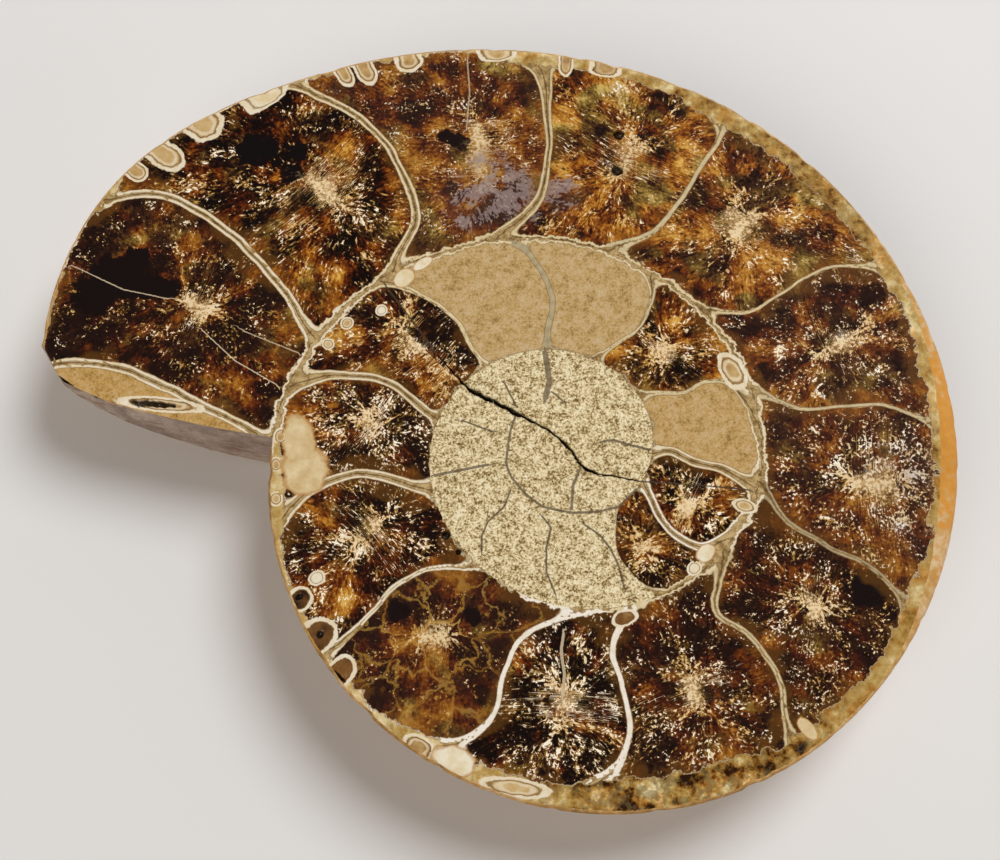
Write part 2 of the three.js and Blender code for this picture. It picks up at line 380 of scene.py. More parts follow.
def wall_radius(turn):
    """Distance from the axis to the outer wall."""
    turn = np.asarray(turn, float)
    place = np.maximum(turn - FIRST_TURN, 0) / RADIUS_STEP
    i = np.floor(place).astype(int)
    t = place - i
    a, b, c, d = (WALL_RADII[np.clip(i + k, 0, len(WALL_RADII) - 1)] for k in (-1, 0, 1, 2))
    slope = (c - a) / 2
    next_slope = (d - b) / 2
    bend = 3 * (c - b) - 2 * slope - next_slope
    twist = 2 * (b - c) + slope + next_slope
    radius = b + t * (slope + t * (bend + t * twist))
    return radius * np.exp(EARLY_SHRINK * np.minimum(turn - FIRST_TURN, 0))


def rim_growth(turn):
    """0 at the notch and inside it, 1 a few degrees out along the free rim."""
    return smooth((turn - NOTCH) / RIM_REACH)


def band_width(turn):
    away = np.abs(turn - WIDE_BAND_TURN) / WIDE_BAND_SPREAD
    swell = np.cos(np.minimum(away, 1) * math.pi / 2) ** 2
    return RIM_BAND + WIDE_BAND * swell


def rim_drop(turn):
    """How far below the cut the flank starts."""
    return (RIM_BAND + band_width(turn) / 2) * rim_growth(turn)


def flank_depth(across):
    """Share of the whorl's depth that the flank has reached, from rim 0 to seam 1."""
    left = 1 - np.minimum(across, SHOULDER_ACROSS) / SHOULDER_ACROSS
    past = np.maximum(across - SHOULDER_ACROSS, 0) / (1 - SHOULDER_ACROSS)
    return (1 - left**2) ** FLANK_ROUNDNESS - (1 - SEAM_DEPTH_SHARE) * past**SEAM_ROUNDNESS


def flank_height(turn, across):
    drop = rim_drop(turn)
    depth = np.minimum(THICKNESS, CORE_HALF_THICKNESS + THICKENING * wall_radius(turn))
    return THICKNESS - drop - (depth - drop) * flank_depth(across)


def across_flank(turn, radius):
    return (1 - radius / wall_radius(turn)) / (1 - SEAM_SHARE)


def flank_radius(turn, across):
    return wall_radius(turn) * (1 - across * (1 - SEAM_SHARE))


def seam_across(turn):
    """Where the flank, past its shoulder, meets the flank of the whorl before."""
    turn = np.asarray(turn, float)
    tries = np.linspace(SHOULDER_ACROSS, 1, 241)[:, None]
    radius = flank_radius(turn, tries)
    before = across_flank(turn - 360, radius)
    inside = (before >= 0) & (before <= 1)
    under = flank_height(turn - 360, np.clip(before, 0, 1))
    gap = np.where(inside, under, THICKNESS) - flank_height(turn, tries)
    met = gap <= 0
    first = np.where(met.any(0), met.argmax(0), len(tries) - 1)
    at = np.arange(len(turn))
    g0, g1 = gap[first - 1, at], gap[first, at]
    share = np.where(met.any(0), g0 / np.maximum(g0 - g1, 1e-9), 1)
    return tries[first - 1, 0] + share * (tries[1, 0] - tries[0, 0])


def setback(turn, across):
    """Degrees that a point near the aperture moves back, so that the edge takes its broken line."""
    reach = smooth((turn - LAST + SETBACK_REACH) / SETBACK_REACH)
    return reach * np.interp(across, SETBACK_ACROSS, SETBACK)


def around(turn, radius, height):
    angle = np.radians(turn)
    return np.stack([radius * np.cos(angle), radius * np.sin(angle), height], -1)


def coil_axis():
    """Place of the coil's axis on the ground, from the solid's box and the free rim's reach."""
    turns = np.arange(NOTCH, LAST, 0.25)
    rim = around(turns, wall_radius(turns), np.zeros_like(turns))
    return HIGH.x / MM - rim[:, 0].max(), HIGH.y / MM - rim[:, 1].max()


# ---------------------------------------------------------------- the mesh

def cut_place(turn, across):
    """A point of the flat cut."""
    turn = turn - setback(turn, across)
    inner = wall_radius(turn - 360)
    outer = wall_radius(turn) - band_width(turn) * rim_growth(turn)
    return around(turn, inner + across * (outer - inner), np.full_like(turn, THICKNESS))


def bevel_place(turn, down):
    """A point of the shell's edge, between the cut and the top of the flank."""
    growth = rim_growth(turn)
    turn = turn - setback(turn, 1.0)
    bend = down * math.pi / 2
    radius = wall_radius(turn) - band_width(turn) * growth * (1 - np.sin(bend))
    return around(turn, radius, THICKNESS - rim_drop(turn) * (1 - np.cos(bend)))


def flank_place(turn, across, ribbed=1):
    radius = flank_radius(turn, across)
    inner = wall_radius(turn - 360)
    over = np.clip((radius - inner) / (wall_radius(turn) - inner), 0, 1)
    moved = turn - setback(turn, over)
    height = flank_height(moved, across) + ribbed * rib_relief(turn, across)
    return around(moved, flank_radius(moved, across), height)


def rib_relief(turn, across):
    """Faint sickle-shaped ribs, which only ever sink into the whorl."""
    sickle = turn - SICKLE_BEND * np.sin(across * SICKLE_WAVES) + SICKLE_LEAN * across
    wave = 0.5 - 0.5 * np.cos(np.radians(sickle * 360 / RIB_SPACING))
    strength = smooth(across / 0.12) * smooth((0.86 - across) / 0.5) * smooth((turn + 200) / 300)
    return RIB_DEPTH * wave * strength * smooth((LAST - turn) / 6)


def outer_flank_place(turn, share):
    """Flank of the last whorl, from the rim to the line where the next whorl would have met it."""
    limit = across_flank(turn, NOTCH_SEAM_SHARE * wall_radius(turn))
    return flank_place(turn, limit * share**1.6)


def inner_flank_place(turn, share):
    """Flank from where the next whorl hides it, or would, to its own seam."""
    covered = turn < NOTCH - 1e-6
    own_limit = across_flank(turn, NOTCH_SEAM_SHARE * wall_radius(turn))
    later = np.where(covered, turn + 360, turn)
    later_across = seam_across(later)
    start = np.where(covered, across_flank(turn, flank_radius(later, later_across)), own_limit)
    window = np.where(covered, smooth(share * 5), 1) * smooth((1 - share) * 5)
    place = flank_place(turn, start + share * (seam_across(turn) - start), window)
    lift = flank_height(later, later_across) - flank_height(turn, start)
    place[:, 2] += np.where(covered, lift * (1 - share), 0)
    return place


NOTCH_SEAM_SHARE = float(
    (flank_radius(np.array([LAST]), seam_across(np.array([LAST]))) / wall_radius(NOTCH))[0]
)


def add_sheet(bm, first, last, rows, place, finish):
    """A grid wrapped round the coil: columns by turn, rows by place across."""
    columns = round((last - first) * COLUMNS_PER_TURN / 360)
    made = bmesh.ops.create_grid(bm, x_segments=columns, y_segments=rows, size=1)["verts"]
    flat = np.array([v.co[:2] for v in made])
    share = np.round((flat + 1) / 2 * (columns, rows)) / (columns, rows)
    turns = first + share[:, 0] * (last - first)
    turn_of = dict(zip(made, turns))
    layer = bm.faces.layers.float[TURN_LAYER]
    for face in {f for v in made for f in v.link_faces}:
        face.material_index = finish
        face[layer] = sum(turn_of[v] for v in face.verts) / 4
    for vertex, co in zip(made, place(turns, share[:, 1])):
        vertex.co = co


def open_rings(bm):
    """The rings of edges that have a face on one side only."""
    left = {e for e in bm.edges if e.is_boundary}
    rings = []
    for first in [e for e in bm.edges if e.is_boundary]:
        if first not in left:
            continue
        left.discard(first)
        ring = [first]
        for edge in ring:
            near = [e for v in edge.verts for e in v.link_edges if e in left]
            left.difference_update(near)
            ring += near
        rings.append(ring)
    return rings


def fill_ring(bm, ring, normal, finish):
    """Closes a ring of edges with triangles."""
    bmesh.ops.triangle_fill(bm, edges=ring, normal=normal, use_beauty=True)
    layer = bm.faces.layers.float[TURN_LAYER]
    for face in [f for f in bm.faces if f[layer] == 0]:
        face.material_index = finish
        face[layer] = CORE_TURN - finish


def cut_into_cells(bm, finish, cell, axes):
    """Cuts the triangles that close a ring into cells along the given axes."""
    layer = bm.faces.layers.float[TURN_LAYER]
    for axis in axes:
        filled = [f for f in bm.faces if f[layer] == CORE_TURN - finish]
        spread = [v.co[axis] for f in filled for v in f.verts]
        across = Vector((0, 0, 0))
        across[axis] = 1
        for k in range(1, math.ceil((max(spread) - min(spread)) / cell)):
            edges = list({e for f in filled for e in f.edges})
            verts = list({v for f in filled for v in f.verts})
            bmesh.ops.bisect_plane(
                bm, geom=filled + edges + verts, dist=0.02,
                plane_co=across * (min(spread) + k * cell), plane_no=across,
            )
            filled = [f for f in bm.faces if f[layer] == CORE_TURN - finish]


def fill_aperture(bm, ring):
    """Closes the broken aperture. Its edge dips for the moment, so that no triangle lies in the cut."""
    edge = {v: v.co.copy() for e in ring for v in e.verts if v.co.z > THICKNESS - 1e-4}
    left, right = min(co.x for co in edge.values()), max(co.x for co in edge.values())
    for vertex, co in edge.items():
        share = (co.x - left) / (right - left)
        vertex.co.z -= EDGE_DIP * share * (1 - share)
    fill_ring(bm, ring, (0, -1, 0), BREAK)
    for vertex, co in edge.items():
        vertex.co = co
    cut_into_cells(bm, BREAK, BREAK_CELL, (0, 2))


def close_body(bm):
    """Closes the core of the cut, the broken aperture and the coil's beginning."""
    for ring in open_rings(bm):
        reach = max(math.hypot(*v.co[:2]) for e in ring for v in e.verts)
        if reach < EARLY_REACH:
            fill_ring(bm, ring, (0, 0, -1), SHELL)
        elif reach < CORE_REACH:
            fill_ring(bm, ring, (0, 0, 1), CUT)
            cut_into_cells(bm, CUT, CORE_CELL, (0, 1))
        else:
            fill_aperture(bm, ring)


# ---------------------------------------------------------------- relief

def distance_to_line(points, line):
    """Distance from each point to a bent line, the side it is on, and how far along it is, 0 to 1."""
    line = np.asarray(line, float)
    start, step = line[:-1], np.diff(line, axis=0)
    length = np.hypot(*step.T)
    away = points[:, None] - start
    share = np.clip((away * step).sum(-1) / length**2, 0, 1)
    gap = away - share[..., None] * step
    distance = np.hypot(gap[..., 0], gap[..., 1])
    best = distance.argmin(1)
    at = np.arange(len(points))
    side = np.sign(step[best, 0] * away[at, best, 1] - step[best, 1] * away[at, best, 0])
    before = np.concatenate([[0], np.cumsum(length)])
    along = (before[best] + share[at, best] * length[best]) / before[-1]
    return distance[at, best], side, along


def spot(turn, across):
    """Point of the cut at a turn and a place across the whorl, from the axis."""
    inner = wall_radius(turn - 360)
    radius = inner + across * (wall_radius(turn) - inner)
    angle = math.radians(turn)
    return np.array([radius * math.cos(angle), radius * math.sin(angle)])


def local(points, turn, across, length, width, lean=0):
    """Points measured from a spot on the cut, outwards and along, in shares of its half sizes."""
    angle = math.radians(turn + lean)
    out = np.array([math.cos(angle), math.sin(angle)])
    away = points - spot(turn, across)
    return away @ out / length, away @ np.array([-out[1], out[0]]) / width


def roughly(points, size, seed):
    """Smooth noise from -1 to 1 at each point, with bumps about as wide as size."""
    return np.array([noise.noise(Vector((x / size, y / size, seed))) for x, y in points])


def relief_depth(points, look):
    """How far the cut sinks at each point, in the crack and in the hollows."""
    moved = points + 0.16 * np.stack([roughly(points, 0.7, 3.0), roughly(points, 0.7, 5.0)], -1)
    distance, _, along = distance_to_line(moved, CRACK_LINE)
    steps = np.hypot(*np.diff(CRACK_LINE, axis=0).T)
    shares = np.concatenate([[0], np.cumsum(steps)]) / steps.sum()
    width = np.interp(along, shares, [place[2] for place in CRACK])
    share = distance / (look.crack_width / MM / 2 * width)
    depth = look.crack_depth / MM * width**0.5 * np.sqrt(np.clip(1 - share**2, 0, 1))
    for k, (turn, across, length, width, deep) in enumerate(HOLLOWS):
        u, v = local(points, turn, across, length, width)
        close = np.hypot(u, v) < 2
        edge = np.hypot(u, v)[close] + 0.3 * roughly(points[close], 0.5, 10.0 + k)
        depth[close] = np.maximum(depth[close], deep * np.clip(1 - edge**2, 0, 1) ** 0.6)
    return depth


def carve(bm, look):
    """Splits the cut's faces near the crack and the hollows and sinks their points."""
    faces = [f for f in bm.faces if f.material_index == CUT]
    middles = np.array([f.calc_center_median()[:2] for f in faces])
    near = distance_to_line(middles, CRACK_LINE)[0] < 0.7
    for turn, across, length, width, _ in HOLLOWS:
        u, v = local(middles, turn, across, length + 0.5, width + 0.5)
        near |= np.hypot(u, v) < 1.15
    edges = list({e for f, chosen in zip(faces, near) if chosen for e in f.edges})
    bmesh.ops.subdivide_edges(bm, edges=edges, cuts=4, use_grid_fill=True)
    sinking = [v for v in bm.verts if v.co.z > THICKNESS - 1e-4 and not on_rim(v)]
    points = np.array([v.co[:2] for v in sinking])
    for vertex, depth in zip(sinking, relief_depth(points, look)):
        vertex.co.z -= depth


def on_rim(vertex):
    return any(f.material_index != CUT for f in vertex.link_faces)


def roughen(bm):
    """Breaks up the aperture's wall and the edge of the shell."""
    for vertex in bm.verts:
        finishes = {f.material_index for f in vertex.link_faces}
        place = vertex.co
        if finishes == {BREAK}:
            ledge = 0.35 * noise.noise(Vector((place.x * 0.12, 0, place.z * 0.9)))
            grit = 0.22 * noise.noise(place * 0.9) + 0.1 * noise.noise(place * 2.4)
            vertex.co.y += ledge + grit
        elif SHELL in finishes and BREAK not in finishes and place.z > THICKNESS - 3:
            near_rim = 1 - (THICKNESS - place.z) / 3
            chips = max(0, noise.noise(place * 0.55) - 0.12) * 0.5 + 0.06 * noise.noise(place * 2.2)
            inward = Vector((-place.x, -place.y, 0)).normalized()
            vertex.co += inward * max(0, chips) * near_rim


# ---------------------------------------------------------------- shading attributes

def septum_turn(septum, across):
    """Turn of a wall at each place across, along a smooth curve through its stations."""
    across = np.clip(across, 0, 1)
    stations = np.array(STATIONS, float)
    turns = np.array(septum.turns, float)
    slopes = np.gradient(turns, stations)
    i = np.clip(np.searchsorted(stations, across, side="right") - 1, 0, len(stations) - 2)
    width = stations[i + 1] - stations[i]
    t = (across - stations[i]) / width
    rise = turns[i + 1] - turns[i]
    bend = (slopes[i + 1] * width - rise) * t + (slopes[i] * width - rise) * (t - 1)
    return turns[i] + rise * t + t * (t - 1) * bend


def septum_distance(points, turn, across, septum):
    """Distance to a wall, positive on the side of later turns."""
    steps = np.linspace(0, 1, 33)
    line = np.array([spot(t, a) for t, a in zip(septum_turn(septum, steps), steps)])
    distance = distance_to_line(points, line)[0]
    return np.where(turn < septum_turn(septum, across), -distance, distance)


def septum_form(across, septum):
    """Half gap, half leaf and tone of a wall at each place across."""
    end = np.where(across < 0.5, septum.inner_gap, septum.outer_gap)
    gap = septum.gap + (end - septum.gap) * np.abs(2 * np.clip(across, 0, 1) - 1) ** 3
    return np.stack([gap, np.full_like(gap, septum.leaf), np.full_like(gap, septum.tone)], -1)


def band_form(table, turn):
    """Columns of a table, eased between its turns."""
    return np.stack([np.interp(turn, table[:, 0], column) for column in table[:, 1:].T], -1)


Corners = namedtuple("Corners", "points turn across face face_turn finish")


def corners_of(mesh):
    """Place, turn and place across the whorl of every face corner."""
    count = len(mesh.loops)
    vertex = np.empty(count, int)
    mesh.loops.foreach_get("vertex_index", vertex)
    place = np.empty(len(mesh.vertices) * 3)
    mesh.vertices.foreach_get("co", place)
    totals = np.empty(len(mesh.polygons), int)
    mesh.polygons.foreach_get("loop_total", totals)
    finish = np.empty(len(mesh.polygons), int)
    mesh.polygons.foreach_get("material_index", finish)
    face_turn = np.empty(len(mesh.polygons))
    mesh.attributes[TURN_LAYER].data.foreach_get("value", face_turn)
    face = np.repeat(np.arange(len(totals)), totals)
    points = place.reshape(-1, 3)[vertex]
    angle = np.degrees(np.arctan2(points[:, 1], points[:, 0]))
    near = face_turn[face]
    turn = angle + 360 * np.round((near - angle) / 360)
    radius = np.hypot(points[:, 0], points[:, 1])
    inner = wall_radius(turn - 360)
    across = (radius - inner) / (wall_radius(turn) - inner)
    return Corners(points, turn, across, face, near, finish[face])


def face_mean(corners, values):
    total = np.bincount(corners.face, values)
    return (total / np.bincount(corners.face))[corners.face]


def chamber_attributes(corners, chosen):
    """Distances to the walls of each corner's own chamber, and how those walls are formed."""
    points, turn, across = corners.points[:, :2], corners.turn, corners.across
    middle_turn, middle_across = face_mean(corners, turn), face_mean(corners, across)
    chamber = np.zeros(len(turn), int)
    for septum in SEPTA:
        chamber += middle_turn > septum_turn(septum, middle_across)
    gaps = np.full((len(turn), 3), FAR)
    forms = [np.zeros((len(turn), 3)), np.zeros((len(turn), 3))]
    crystal = np.zeros((len(turn), 3))
    filling = np.zeros((len(turn), 3))
    growth = np.zeros((len(turn), 3))
    for k, fill in enumerate(FILLINGS):
        here = np.flatnonzero(chosen & (chamber == k))
        for side, wall in enumerate((k - 1, k)):
            if 0 <= wall < len(SEPTA):
                found = septum_distance(points[here], turn[here], across[here], SEPTA[wall])
                gaps[here, side] = found if side == 0 else -found
                forms[side][here] = septum_form(across[here], SEPTA[wall])
        ends = np.array([spot(*place) for place in fill.centre]) + ((0, 0), (1e-3, 0))
        step = ends[1] - ends[0]
        away = points[here] - ends[0]
        share = np.clip(away @ step / (step @ step), 0, 1)
        crystal[here, :2] = away - share[:, None] * step
        crystal[here, 2] = k
        filling[here] = fill.mud, fill.grains, fill.flecks
        growth[here] = fill.amber, fill.gold, fill.haze
    gaps[:, 2] = across
    return gaps, forms, crystal, filling, growth


def stain_attribute(points):
    """Strength of each kind of stain at each point."""
    stains = np.zeros((len(points), len(STAINS)))
    for stain, spots in zip(stains.T, STAINS.values()):
        for turn, across, radius, strength in spots:
            away = np.hypot(*(points - spot(turn, across)).T) / radius
            np.maximum(stain, np.exp(-(away**2) * 0.9) * strength, out=stain)
    return stains


def lobe_attribute(corners, points):
    """Each corner's place in the lobe nearest its face, or far away."""
    lobes = np.full((len(points), 3), FAR)
    nearest = np.full(len(points), 1.9)
    for turn, across, length, width, lean, inside, open_ended in LOBES:
        u, v = local(points, turn, across, length, width, lean)
        if open_ended:
            u = np.minimum(u, 0)
        middle = face_mean(corners, np.hypot(u, v))
        closer = middle < nearest
        nearest[closer] = middle[closer]
        lobes[closer] = np.stack([u, v, np.full_like(u, inside)], -1)[closer]
    return lobes


def vein_attribute(corners, points):
    """Signed distance to the nearest vein, which changes sign only where a face crosses one."""
    veins = np.full((len(points), 3), FAR)
    nearest = np.full(len(points), 1.5)
    for vein in VEINS:
        distance, side, _ = distance_to_line(points, vein.points)
        middle = face_mean(corners, distance)
        closer = middle < nearest
        nearest[closer] = middle[closer]
        crossing = face_mean(corners, (distance < 0.5).astype(float)) > 0
        signed = np.where(crossing, distance * side, distance)
        form = np.stack([signed, np.full_like(signed, vein.half_width), np.full_like(signed, vein.tone)], -1)
        veins[closer] = form[closer]
    return veins


def write_vectors(mesh, name, values):
    layer = mesh.attributes.new(name, "FLOAT_VECTOR", "CORNER")
    layer.data.foreach_set("vector", np.asarray(values, np.float32).ravel())


def write_attributes(mesh):
    corners = corners_of(mesh)
    points = corners.points[:, :2]
    cut = corners.finish == CUT
    chambered = cut & (corners.face_turn > CORE_TURN / 2)
    gaps, forms, crystal, filling, growth = chamber_attributes(corners, chambered)
    filling[cut & ~chambered] = 0, 1, 0.3
    walls = np.full((len(points), 3), FAR)
    radius = np.hypot(*points.T)
    walls[chambered, 0] = (radius - wall_radius(corners.turn - 360))[chambered]
    walls[chambered, 1] = (wall_radius(corners.turn) - radius)[chambered]
    margin = band_form(MARGIN, corners.turn)
    free = chambered & (corners.face_turn > NOTCH)
    margin[:, 0] = np.where(free, walls[:, 1] - margin[:, 0], FAR)
    write_vectors(mesh, "chamber_gaps", gaps)
    write_vectors(mesh, "wall_before", forms[0])
    write_vectors(mesh, "wall_after", forms[1])
    write_vectors(mesh, "crystal", crystal)
    write_vectors(mesh, "filling", filling)
    stains = stain_attribute(points)
    # The fourth kind of stain, painted sheen, joins the chambers' sheen share in the third part of growth.
    growth[:, 2] = np.maximum(growth[:, 2], stains[:, 3])
    write_vectors(mesh, "growth", growth)
    write_vectors(mesh, "whorl_gaps", walls)
    write_vectors(mesh, "whorl_inside", band_form(WALL_FORMS, corners.turn - 360))
    write_vectors(mesh, "whorl_outside", band_form(WALL_FORMS, corners.turn))
    write_vectors(mesh, "margin", margin)
    write_vectors(mesh, "stain", stains[:, :3])
    write_vectors(mesh, "lobe", lobe_attribute(corners, points))
    write_vectors(mesh, "vein", vein_attribute(corners, points))
    flank = across_flank(corners.turn, radius)
    write_vectors(mesh, "coil", np.stack([corners.turn / 360, flank, radius], -1))
    write_uv(mesh, corners)


def fitted(places, box):
    """Places moved and scaled to fill a box (left, bottom, right, top) of the unit square."""
    low, high = places.min(0), places.max(0)
    room = np.array(box[2:]) - box[:2]
    return (places - low) * (room / (high - low)).min() + box[:2]


def write_uv(mesh, corners):
    """Lays the cut, the shell's back and the broken wall out on one square."""
    points = corners.points
    rising = np.empty(len(mesh.polygons) * 3)
    mesh.polygons.foreach_get("normal", rising)
    top = rising.reshape(-1, 3)[corners.face, 2] > 0
    broken = corners.finish == BREAK
    steepness = np.where(corners.face_turn > NOTCH, 0.6, 0)
    radius = np.hypot(points[:, 0], points[:, 1])
    stretch = 1 + steepness * points[:, 2] / np.maximum(radius, 1)
    flat = points[:, :2]
    uv = np.zeros((len(points), 2))
    uv[top & ~broken] = fitted(flat[top & ~broken], UV_TOP)
    uv[~top & ~broken] = fitted((flat * stretch[:, None])[~top & ~broken], UV_BACK)
    uv[broken] = fitted(points[broken][:, [2, 0]], UV_BREAK)
    layer = mesh.uv_layers.new(name="OFBake")
    layer.data.foreach_set("uv", uv.astype(np.float32).ravel())


# ---------------------------------------------------------------- shader building

def paint(red, green, blue):
    """A colour given in screen values, 0 to 255, as a shader takes it."""
    linear = [((c / 255 + 0.055) / 1.055) ** 2.4 for c in (red, green, blue)]
    return (*linear, 1.0)


def toned(colour, share):
    """A colour made darker by a share below 1, or mixed with white by what is past 1."""
    dark = [c * min(share, 1) for c in colour]
    white = max(share - 1, 0)
    return (*(c + (1 - c) * white for c in dark), 1.0)


class Graph:
    """Adds shader nodes to a new material and joins them."""

    def __init__(self, name):
        self.material = bpy.data.materials.new(name)
        self.material.use_nodes = True
        self.tree = self.material.node_tree
        self.tree.nodes.clear()

    def feed(self, socket, value):
        if isinstance(value, bpy.types.NodeSocket):
            self.tree.links.new(value, socket)
        else:
            socket.default_value = value

    def node(self, kind, *values, **settings):
        made = self.tree.nodes.new("ShaderNode" + kind)
        for key, value in settings.items():
            setattr(made, key, value)
        for socket, value in zip(made.inputs, values):
            self.feed(socket, value)
        return made

    def attribute(self, name):
        return self.node("Attribute", attribute_name=name).outputs["Vector"]

    def parts(self, vector):
        return self.node("SeparateXYZ", vector).outputs[:]

    def joined(self, x, y, z):
        return self.node("CombineXYZ", x, y, z).outputs[0]

    def calc(self, operation, *values, clamp=False):
        return self.node("Math", *values, operation=operation, use_clamp=clamp).outputs[0]

    def add(self, *values):
        total = values[0]
        for value in values[1:]:
            total = self.calc("ADD", total, value)
        return total

    def times(self, a, b, clamp=False):
        return self.calc("MULTIPLY", a, b, clamp=clamp)

    def less(self, a, b):
        return self.calc("SUBTRACT", a, b)

    def vector(self, operation, *values):
        made = self.node("VectorMath", operation=operation)
        for socket, value in zip(made.inputs, values):
            self.feed(socket, value)
        return made.outputs["Value" if operation in ("LENGTH", "DOT_PRODUCT") else "Vector"]

    def scaled(self, vector, factor):
        made = self.node("VectorMath", vector, operation="SCALE")
        self.feed(made.inputs["Scale"], factor)
        return made.outputs["Vector"]

    def step(self, value, low, high):
        """0 below low and 1 above high, eased between; the other way round if high is the lower."""
        made = self.node("MapRange", value, low, high, interpolation_type="SMOOTHSTEP")
        return made.outputs[0]

    def noise(self, place, scale, detail=2.0, roughness=0.55, distortion=0.0, colour=False):
        made = self.node("TexNoise")
        settings = ("Vector", place), ("Scale", scale), ("Detail", detail), ("Roughness", roughness)
        for name, value in (*settings, ("Distortion", distortion)):
            self.feed(made.inputs[name], value)
        return made.outputs["Color" if colour else "Fac"]

    def swing(self, place, *settings):
        """Smooth noise from about -0.5 to 0.5."""
        return self.less(self.noise(place, *settings), 0.5)

    def ring(self, value, middle, far, near):
        """1 where a value lies nearer to middle than near, 0 farther off than far."""
        return self.step(self.calc("ABSOLUTE", self.less(value, middle)), far, near)

    def cover(self, colour, share, strength, layer):
        """A colour with another laid over a share of it, at a strength."""
        return self.blend(self.times(share, strength), colour, layer)

    def cells(self, place, scale, output="Color", feature="F1"):
        made = self.node("TexVoronoi", feature=feature)
        self.feed(made.inputs["Vector"], place)
        self.feed(made.inputs["Scale"], scale)
        return made.outputs[output]

    def blend(self, factor, a, b, mode="MIX"):
        made = self.node("Mix", factor, data_type="RGBA", blend_type=mode)
        self.feed(made.inputs[6], a)
        self.feed(made.inputs[7], b)
        return made.outputs[2]

    def ramp(self, value, *stops):
        """Colours along a value, as (place, colour) stops."""
        made = self.node("ValToRGB", value)
        marks = made.color_ramp.elements
        while len(marks) < len(stops):
            marks.new(0.5)
        for mark, (place, colour) in zip(marks, stops):
            mark.position = place
            mark.color = colour
        return made.outputs[0]

    def millimetres(self):
        """Object coordinates in millimetres."""
        place = self.node("TexCoord").outputs["Object"]
        return self.scaled(place, 1000)

    def finish(self, colour, roughness, height, depth, coat=0.0, coat_roughness=0.05, specular=0.5):
        """A surface of that colour and roughness, with bumps depth metres high."""
        bump = self.node("Bump")
        bump.inputs["Strength"].default_value = 1
        bump.inputs["Distance"].default_value = depth
        self.feed(bump.inputs["Height"], height)
        surface = self.node("BsdfPrincipled")
        self.feed(surface.inputs["Base Color"], colour)
        self.feed(surface.inputs["Roughness"], roughness)
        self.feed(surface.inputs["Normal"], bump.outputs[0])
        surface.inputs["Coat Weight"].default_value = coat
        surface.inputs["Coat Roughness"].default_value = coat_roughness
        surface.inputs["Specular IOR Level"].default_value = specular
        self.node("OutputMaterial", surface.outputs[0])
        return self.material


# ---------------------------------------------------------------- the polished cut

def needle_swing(g, flat, away):
    """Noise drawn out into needles, in facets that each aim at the growth line, and each facet's lots."""
    facet = g.node("TexVoronoi")
    g.feed(facet.inputs["Vector"], flat)
    g.feed(facet.inputs["Scale"], 0.75)
    lot, lot2, lot3 = g.parts(facet.outputs["Color"])
    middle = g.vector("SUBTRACT", away, g.vector("SUBTRACT", flat, facet.outputs["Position"]))
    aim = g.vector("NORMALIZE", g.vector("MULTIPLY", middle, (1, 1, 0)))
    ax, ay, _ = g.parts(aim)
    turned = g.times(g.less(lot, 0.5), 0.9)
    aim = g.vector("ADD", aim, g.scaled(g.joined(g.times(ay, -1), ax, 0), turned))
    ax, ay, _ = g.parts(g.vector("NORMALIZE", aim))
    along = g.vector("DOT_PRODUCT", flat, g.joined(ax, ay, 0))
    beside = g.vector("DOT_PRODUCT", flat, g.joined(g.times(ay, -1), ax, 0))
    needle_place = g.joined(along, g.times(beside, 3.3), g.times(lot2, 40))
    needles = g.swing(needle_place, 1.0, 2, 0.6)
    return needles, lot2, lot3


def crystal_body(g, tone, hue, gold):
    """Colour of the crystals behind their needles, and how little gold they hold."""
    warm = g.ramp(
        tone,
        (0.05, paint(12, 5, 5)), (0.2, paint(38, 12, 6)), (0.36, paint(82, 32, 10)),
        (0.54, paint(130, 68, 16)), (0.74, paint(184, 122, 38)), (1.0, paint(226, 180, 90)),
    )
    cool = g.ramp(
        tone,
        (0.05, paint(10, 5, 7)), (0.2, paint(32, 15, 10)), (0.36, paint(62, 36, 18)),
        (0.54, paint(98, 72, 28)), (0.74, paint(146, 118, 52)), (1.0, paint(206, 180, 104)),
    )
    body = g.blend(g.step(hue, -0.02, 0.12), warm, cool)
    dull = g.less(1, gold)
    body = g.blend(g.times(dull, 0.4), body, paint(66, 38, 30))
    return body, dull


